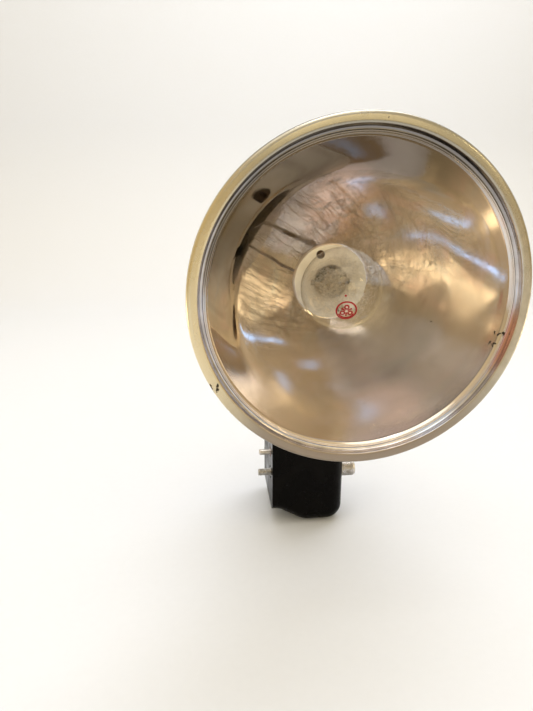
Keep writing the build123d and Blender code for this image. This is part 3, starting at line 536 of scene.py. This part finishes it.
def make_reflector():
    """Bowl, two fine beads, groove, flat band, rolled edge and the back of the sheet, in one turned skin."""
    roll = (RIM_R - ROLL_R, RIM_Y + ROLL_R)
    groove_y = MOUTH_Y + 0.25
    seat_front = [
        (SEAT_HOLE_R, SEAT_Y + SHEET / 2),
        (SEAT_HOLE_R + 0.15, SEAT_Y),
        (13.0, SEAT_Y),
        (SEAT_R - 0.4, SEAT_Y),
    ]
    beads = []
    for radius in (BOWL_R + 0.35, BOWL_R + 1.0):
        beads += arc((radius, MOUTH_Y - 0.05), 0.24, 180, 360, 8)
    groove = [
        (BOWL_R + 1.35, groove_y - 0.05),
        (BOWL_R + 1.7, groove_y),
        (BOWL_R + 2.2, groove_y - 0.15),
        (BOWL_R + 2.6, groove_y - 0.6),
        (BAND_R - 0.35, RIM_Y + 0.85),
        (BAND_R - 0.22, RIM_Y + 0.45),
    ]
    band = [
        (BAND_R - 0.05, RIM_Y + 0.18),
        (BAND_R + 0.2, RIM_Y + 0.06),
        (BAND_R + 0.8, RIM_Y + 0.02),
        (roll[0] - 0.6, RIM_Y + 0.01),
    ]
    edge = arc(roll, ROLL_R, 270, 430, 24)
    back = [
        (roll[0] - 0.6, roll[1] + 1.2),
        (roll[0] - 1.6, MOUTH_Y + 0.55),
        (BOWL_R + 2.4, MOUTH_Y + 0.75),
        (BOWL_R + 1.0, MOUTH_Y + 0.85),
    ] + bowl_line(SHEET, 48)[::-1]
    seat_back = [(back[-1][0] - 0.4, SEAT_Y + SHEET), (SEAT_HOLE_R + 0.15, SEAT_Y + SHEET)]
    profile = seat_front + bowl_line(0.0, 64) + beads + groove + band + edge + back + seat_back
    vertices, faces = turned_y(profile, 256, spun_error)
    metal = looks["reflector"]
    return new_piece("spun_reflector", vertices, faces, metal, "case", ["reflector"])


make_reflector()


# ---------------------------------------------------------------- lamp
def glass_line():
    """Neck, tangent arc and globe, from the neck's end to the pole."""
    arc_x = NECK_R + NECK_ARC_R
    rise = math.sqrt((GLOBE_R + NECK_ARC_R) ** 2 - arc_x**2)
    centre = (arc_x, GLOBE_Y + rise)
    turn = math.degrees(math.atan2(rise, arc_x))
    points = [(NECK_R, NECK_END_Y - (NECK_END_Y - centre[1]) * i / 6) for i in range(6)]
    points += arc(centre, NECK_ARC_R, 180, 180 + turn, 14)
    points += arc((0, GLOBE_Y), GLOBE_R, turn, -90, 56)[1:-1]
    return points + [(0.02, GLOBE_Y - GLOBE_R)]


def make_glass():
    """Clear globe with its neck, as one skin that ends inside the cap."""
    vertices, faces = turned_y(glass_line() + [(0.02, NECK_END_Y)], 128)
    return new_piece("lamp_globe", vertices, faces, looks["glass"], "bulb", ["bulb_glass"])


def make_wool():
    """Long fine strands of shredded foil that wander and curl through the globe."""
    rng = random.Random(5)
    limit = GLOBE_R - GLASS - 0.4

    def random_vector(size):
        return Vector((rng.gauss(0, size), rng.gauss(0, size), rng.gauss(0, size)))

    strands = []
    for _ in range(WOOL_STRANDS + CURL_STRANDS):
        place = random_vector(6.5) + Vector((-2.5, 2.5, 0))
        heading = random_vector(1).normalized()
        bend = random_vector(1)
        points = []
        for _ in range(50):
            bend = bend * 0.86 + random_vector(0.42)
            heading = (heading + bend.cross(heading) * 0.42).normalized()
            if place.length > limit * 0.88:
                heading = (heading - place.normalized() * 0.35).normalized()
            place = place + heading * 0.6
            if place.length > limit:
                place = place.normalized() * limit
            points.append((AXIS_X + place.x, GLOBE_Y + place.y, AXIS_Z + place.z))
        strands.append(points)
    vertices, faces = tubes(strands[:WOOL_STRANDS], WOOL_R, 3)
    new_piece("lamp_fine_foil", vertices, faces, looks["wool"], "bulb", ["bulb_wool"])
    vertices, faces = tubes(strands[WOOL_STRANDS:], CURL_R, 4)
    new_piece("lamp_foil_curls", vertices, faces, looks["wool"], "bulb")


PRINT_SIDE = -6.2
PRINT_DROP = 22.0


def printed(lines, width, side, drop):
    """Flat inked lines, given as (right, up) points, wrapped onto the globe."""
    vertices, faces = [], []
    centre = Vector((AXIS_X, GLOBE_Y, AXIS_Z))
    turn = Euler((math.radians(drop), 0, math.radians(side)), "XYZ").to_matrix()
    for line in lines:
        closed = (Vector(line[0]) - Vector(line[-1])).length < 1e-6
        points = line[:-1] if closed else line
        count = len(points)
        start = len(vertices)
        for i, point in enumerate(points):
            before = Vector(points[(i - 1) % count] if closed or i else points[i])
            after = Vector(points[(i + 1) % count] if closed or i < count - 1 else points[i])
            run = (after - before).normalized()
            across = Vector((-run.y, run.x)) * width / 2
            for sign in (-1, 1):
                flat = Vector(point) + across * sign
                spot = turn @ Vector((flat.x, -math.sqrt(GLOBE_R**2 - flat.length_squared), flat.y))
                vertices.append(centre + spot.normalized() * (GLOBE_R + 0.03))
        for i in range(count if closed else count - 1):
            a, b = start + 2 * i, start + 2 * ((i + 1) % count)
            faces.append((a, a + 1, b + 1, b))
    return vertices, faces


def circle(centre, radius, start=0.0, end=360.0, steps=40):
    """Points round a circle, or part of one."""
    return arc(centre, radius, start, end, steps)


def make_print():
    """Generic red stamp: a ring round three plain loops and short rays, with a dot above."""
    lines = [circle((0, 0), 3.95), circle((0, 0), 3.25, 205, 335, 24)]
    for angle in (90, 210, 330):
        x, y = 1.75 * math.cos(math.radians(angle)), 1.75 * math.sin(math.radians(angle))
        lines.append(circle((x, y), 0.80, steps=20))
    for angle in (30, 150, 270):
        c, s = math.cos(math.radians(angle)), math.sin(math.radians(angle))
        lines.append([(0.5 * c, 0.5 * s), (1.5 * c, 1.5 * s), (2.4 * c, 2.4 * s)])
    vertices, faces = printed(lines, 0.62, PRINT_SIDE, PRINT_DROP)
    new_piece("lamp_red_stamp", vertices, faces, red_ink, "bulb")
    dot = [circle((0, 0), 0.22, steps=16)]
    vertices, faces = printed(dot, 0.44, PRINT_SIDE - 2.3, 0.4)
    new_piece("lamp_red_dot", vertices, faces, red_ink, "bulb")


make_glass()
make_wool()
make_print()


# ---------------------------------------------------------------- mounting screw
def make_knob():
    """Knob with fine rings round it, a rounded end and a bore for the shaft."""
    radius = knob_high.z
    start, end = knob_low.x, knob_high.x
    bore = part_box("screw_shaft")[1].z / MM + 0.03
    profile = [(bore, start), (radius - 0.5, start), (radius - 0.12, start + 0.3), (radius, start + 0.55)]
    rings = 14
    pitch = (end - 1.6 - start - 0.8) / rings
    for i in range(rings):
        x = start + 0.8 + i * pitch
        for share, depth in ((0.0, 0.0), (0.15, 0.0), (0.35, 0.20), (0.5, 0.26), (0.65, 0.20), (0.85, 0.0)):
            profile.append((radius - depth, x + share * pitch))
    profile += arc((radius - 1.3, end - 1.3), 1.3, 0, 90, 8)
    profile += [(2.6, end), (1.2, end - 0.02), (0.02, end - 0.02), (0.02, end - 4.2), (bore, end - 4.25)]
    vertices, faces = turned_x(profile, 96)
    return new_piece("ringed_knob", vertices, faces, looks["nickel"], "thumb_screw", ["thumb_knob"])


def make_thread():
    """Real helical thread at the screw's outside size, with a chamfered tip."""
    start, end = thread_low.x, thread_high.x
    outside = thread_high.z
    pitch, depth, sides = 0.794, 0.42, 48
    rows = int((end - start) / 0.07)
    vertices = [(start, 0.0, 0.0)]
    for i in range(rows + 1):
        x = start + (end - start) * i / rows
        limit = outside - max(0.0, 0.5 - (x - start))
        for j in range(sides):
            angle = 2 * math.pi * j / sides
            phase = (x / pitch - j / sides) % 1.0
            height = min(1.0, max(0.0, abs(phase - 0.5) * 2.6 - 0.15))
            r = min(limit, outside - depth + depth * height)
            vertices.append((x, r * math.cos(angle), r * math.sin(angle)))
    vertices.append((end, 0.0, 0.0))
    faces = [tuple(1 + i for i in face) for face in ring_grid(rows + 1, sides, False)]
    last = 1 + rows * sides
    for j in range(sides):
        k = (j + 1) % sides
        faces.append((0, 1 + k, 1 + j))
        faces.append((len(vertices) - 1, last + j, last + k))
    return new_piece(
        "cut_thread", vertices, faces, looks["bright_steel"], "thumb_screw", ["screw_thread"]
    )


make_knob()
make_thread()


# ---------------------------------------------------------------- springs
def spring_line(start, along, radius, length, turns):
    """Compression spring's centre line, with a flat turn at each end."""
    side = along.orthogonal().normalized()
    up = along.cross(side)
    points = []
    steps = int((turns + 2) * 28)
    for i in range(steps + 1):
        turn = (turns + 2) * i / steps
        share = min(1.0, max(0.0, (turn - 1) / turns))
        angle = 2 * math.pi * turn
        outwards = math.cos(angle) * side + math.sin(angle) * up
        points.append(start + along * (length * share) + radius * outwards)
    return points


def make_spring(name, node, along, wire, turns, body, joint=None):
    """A wound spring in the place of its CAD node, with a mesh of its own when it has a joint."""
    low, high = (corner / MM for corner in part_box(node))
    centre = (low + high) / 2
    index = max(range(3), key=lambda i: abs(along[i]))
    other = (index + 1) % 3
    radius = (high[other] - low[other]) / 2 - wire
    start = centre.copy()
    start[index] = low[index] + wire
    length = high[index] - low[index] - 2 * wire
    vertices, faces = tubes([spring_line(start, along, radius, length, turns)], wire, 10)
    spring = new_piece(name, vertices, faces, looks["spring_steel"], body, [node])
    if joint:
        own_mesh(spring)
    return spring


EJECTOR_WIRE, EJECTOR_TRAVEL = 0.35, 6.0
CONTACT_WIRE, CONTACT_TRAVEL = 0.25, 1.0
BACK, FRONT, UP = Vector((0, 1, 0)), Vector((0, -1, 0)), Vector((0, 0, 1))
make_spring(
    "wound_ejector_spring", "ejector_spring", BACK, EJECTOR_WIRE, 6, "case", "ejector_push"
)
make_spring(
    "wound_contact_spring", "centre_contact_spring", FRONT, CONTACT_WIRE, 3,
    "case", "contact_press",
)
make_spring("wound_battery_spring", "negative_spring", UP, 0.4, 3, "case")


# ---------------------------------------------------------------- exposure guide on the rear plate
def make_guide_marks():
    """A printed table with no lettering: a frame, rules and discs of growing size."""
    y = plate_high.y + 0.02
    left, right = plate_low.x + 2.2, plate_high.x - 2.2
    bottom, top = plate_low.z + 6.0, plate_high.z - 6.0
    columns = [left, left + (right - left) * 0.36, right]
    rows = [bottom + (top - bottom) * i / 6 for i in range(7)]
    vertices, faces = [], []

    def bar(x0, x1, z0, z1):
        start = len(vertices)
        vertices.extend([(x0, y, z0), (x1, y, z0), (x1, y, z1), (x0, y, z1)])
        faces.append((start, start + 3, start + 2, start + 1))

    for x in columns:
        bar(x - 0.15, x + 0.15, bottom - 0.15, top + 0.15)
    for z in rows:
        bar(left - 0.15, right + 0.15, z - 0.15, z + 0.15)
    for i in range(6):
        z = (rows[i] + rows[i + 1]) / 2
        wide_middle, narrow_middle = (columns[0] + columns[1]) / 2, (columns[1] + columns[2]) / 2
        for x, size in ((wide_middle, 0.7 + 0.28 * i), (narrow_middle, 0.8)):
            count = 1 if x < columns[1] else i + 1
            for k in range(count):
                centre = x + (k - (count - 1) / 2) * 2.0
                start = len(vertices)
                vertices.extend((cx, y, cz) for cx, cz in circle((centre, z), size, steps=20)[:-1])
                faces.append(tuple(start + j for j in reversed(range(20))))
    return new_piece("guide_table", vertices, faces, pale_ink, "cover", smooth=False)


make_guide_marks()


# ---------------------------------------------------------------- stage, lights and camera
def stage_sweep():
    """Pale floor that curves up into a backdrop."""
    floor_z = case_low.z
    near, bend, radius, height, half = -1500.0, 650.0, 350.0, 1800.0, 1800.0
    line = [(near, floor_z), (0.0, floor_z)]
    line += arc((bend, floor_z + radius), radius, -90, 0, 15)
    line.append((bend + radius, height))
    vertices = [(side * half, y, z) for y, z in line for side in (-1, 1)]
    faces = [(2 * i, 2 * i + 1, 2 * i + 3, 2 * i + 2) for i in range(len(line) - 1)]
    mesh = bpy.data.meshes.new("pale_sweep")
    mesh.from_pydata([tuple(Vector(v) * MM) for v in vertices], [], faces)
    for polygon in mesh.polygons:
        polygon.use_smooth = True
    sweep = bpy.data.objects.new("pale_sweep", mesh)
    bpy.context.scene.collection.objects.link(sweep)
    material, tree, shader, where = start_material("pale_paper")
    grain = speckle(tree, where, 3.0, 4.0)
    tree.links.new(tint(tree, grain, (0.76, 0.80, 0.89), (0.735, 0.775, 0.865)), shader.inputs["Base Color"])
    shader.inputs["Roughness"].default_value = 0.8
    mesh.materials.append(material)


def soft_light(name, place, aim, width, height, power, colour, tilt=0.0):
    """Rectangular studio light at place, aimed at a point, both in millimetres."""
    light = bpy.data.lights.new(name, "AREA")
    light.shape = "RECTANGLE"
    light.size, light.size_y = width * MM, height * MM
    light.energy = power
    light.color = colour
    lamp = bpy.data.objects.new(name, light)
    lamp.visible_camera = False
    bpy.context.scene.collection.objects.link(lamp)
    lamp.location = Vector(place) * MM
    direction = (Vector(aim) - Vector(place)).normalized()
    turn = direction.to_track_quat("-Z", "Y").to_matrix() @ Matrix.Rotation(math.radians(tilt), 3, "Z")
    lamp.rotation_euler = turn.to_euler()


def card(name, azimuth, elevation, wide, high, glow, colour, tilt=0.0, distance=1500.0):
    """Small soft box that the bowl mirrors, placed and sized in degrees as seen from the bowl."""
    a, e = math.radians(azimuth), math.radians(elevation)
    away = Vector((math.sin(a) * math.cos(e), -math.cos(a) * math.cos(e), math.sin(e)))
    width, height = (2 * distance * math.tan(math.radians(size) / 2) for size in (wide, high))
    power = glow * math.pi * width * height * MM * MM
    soft_light(name, Vector(BOWL_CENTRE) + away * distance, BOWL_CENTRE, width, height, power, colour, tilt)


def strip(name, corners, thickness, glow, colour):
    """Bent light strip made of cards from corner to corner, each corner an azimuth and an elevation."""
    for i, (start, end) in enumerate(zip(corners, corners[1:])):
        azimuth, elevation = (start[0] + end[0]) / 2, (start[1] + end[1]) / 2
        across = (end[0] - start[0]) * math.cos(math.radians(elevation))
        rise = end[1] - start[1]
        tilt = math.degrees(math.atan2(rise, across))
        card(f"{name}_{i}", azimuth, elevation, math.hypot(across, rise), thickness, glow, colour, tilt)


def make_world():
    """Even room light: warm in front, brighter overhead, and neutral towards the back."""
    world = bpy.data.worlds.new("soft_room")
    bpy.context.scene.world = world
    world.use_nodes = True
    tree = world.node_tree
    where = add(tree, "ShaderNodeTexCoord").outputs["Generated"]
    split = add(tree, "ShaderNodeSeparateXYZ", {0: where})
    height = span(tree, split.outputs["Z"], -0.3, 0.9, 0.0, 1.0)
    colour = tint(tree, height, (0.52, 0.41, 0.225), (0.84, 0.70, 0.45))
    back = span(tree, split.outputs["Y"], -0.1, 0.6, 0.0, 1.0)
    colour = tint(tree, back, colour, (0.90, 0.90, 0.90))
    background = tree.nodes["Background"]
    tree.links.new(colour, background.inputs["Color"])
    background.inputs["Strength"].default_value = 1.0


CAMERA_AT = Vector((-29.3, -259.7, 146.3))
CAMERA_YAW, CAMERA_PITCH, CAMERA_ROLL = 6.0, 16.36, -0.21
LENS = 25.7


def make_camera():
    """Hand-held view from the left and a little above."""
    data = bpy.data.cameras.new("view")
    data.lens = LENS
    data.sensor_width = 36.0
    data.clip_start = 0.01
    camera = bpy.data.objects.new("view", data)
    bpy.context.scene.collection.objects.link(camera)
    aim = Euler((math.radians(90 - CAMERA_PITCH), 0, math.radians(-CAMERA_YAW)), "XYZ").to_matrix()
    turn = aim @ Matrix.Rotation(math.radians(CAMERA_ROLL), 3, "Z")
    camera.matrix_world = Matrix.Translation(CAMERA_AT * MM) @ turn.to_4x4()
    bpy.context.scene.camera = camera


WARM = (1.0, 0.83, 0.50)
BLUE = (0.22, 0.50, 1.0)
BOWL_CENTRE = (AXIS_X, RIM_Y + 25.0, AXIS_Z)

stage_sweep()
make_world()
soft_light("overhead", (-100, -400, 1200), BOWL_CENTRE, 1100, 900, 4.2, (1.0, 0.97, 0.92))
soft_light("backdrop", (300, 300, 1300), (0, 700, 200), 1200, 500, 9, (1.0, 1.0, 1.0))
strip("cool_strip_start", [(-8, 15), (-2, 25)], 1.6, 2.4, BLUE)
strip("cool_strip", [(-2, 25), (4, 28.5), (12, 30), (21, 29)], 1.8, 3.4, BLUE)
card("warm_window", 14, 14, 20, 18, 1.35, WARM)
card("warm_window_core", 19, 20, 10, 6, 0.8, WARM)
card("warm_window_near", 8, 13, 5, 9, 0.9, WARM)
card("warm_wall_left", -36, -7, 20, 20, 0.32, WARM)
card("warm_window_high", -17, 36, 9, 6, 2.4, WARM)
card("warm_window_right", 34, 8, 6, 7, 2.4, WARM)
card("cool_window_left", -19.5, 24, 4, 9, 2.0, BLUE)
card("cool_window_low", -16.5, 4, 3, 6, 1.6, BLUE)
card("cool_spot_low", -25, -10, 6, 6, 1.6, BLUE, distance=360.0)
card("lamp_right", 48, 25, 9, 3, 22.0, WARM, -40, distance=900.0)
card("lamp_far_right", 94, -16, 6, 12, 14.0, WARM, 20, distance=420.0)
card("lamp_low_left", -103, -12, 14, 4, 14.0, WARM, 0, distance=500.0)
make_camera()
bpy.context.scene.view_settings.view_transform = "Standard"
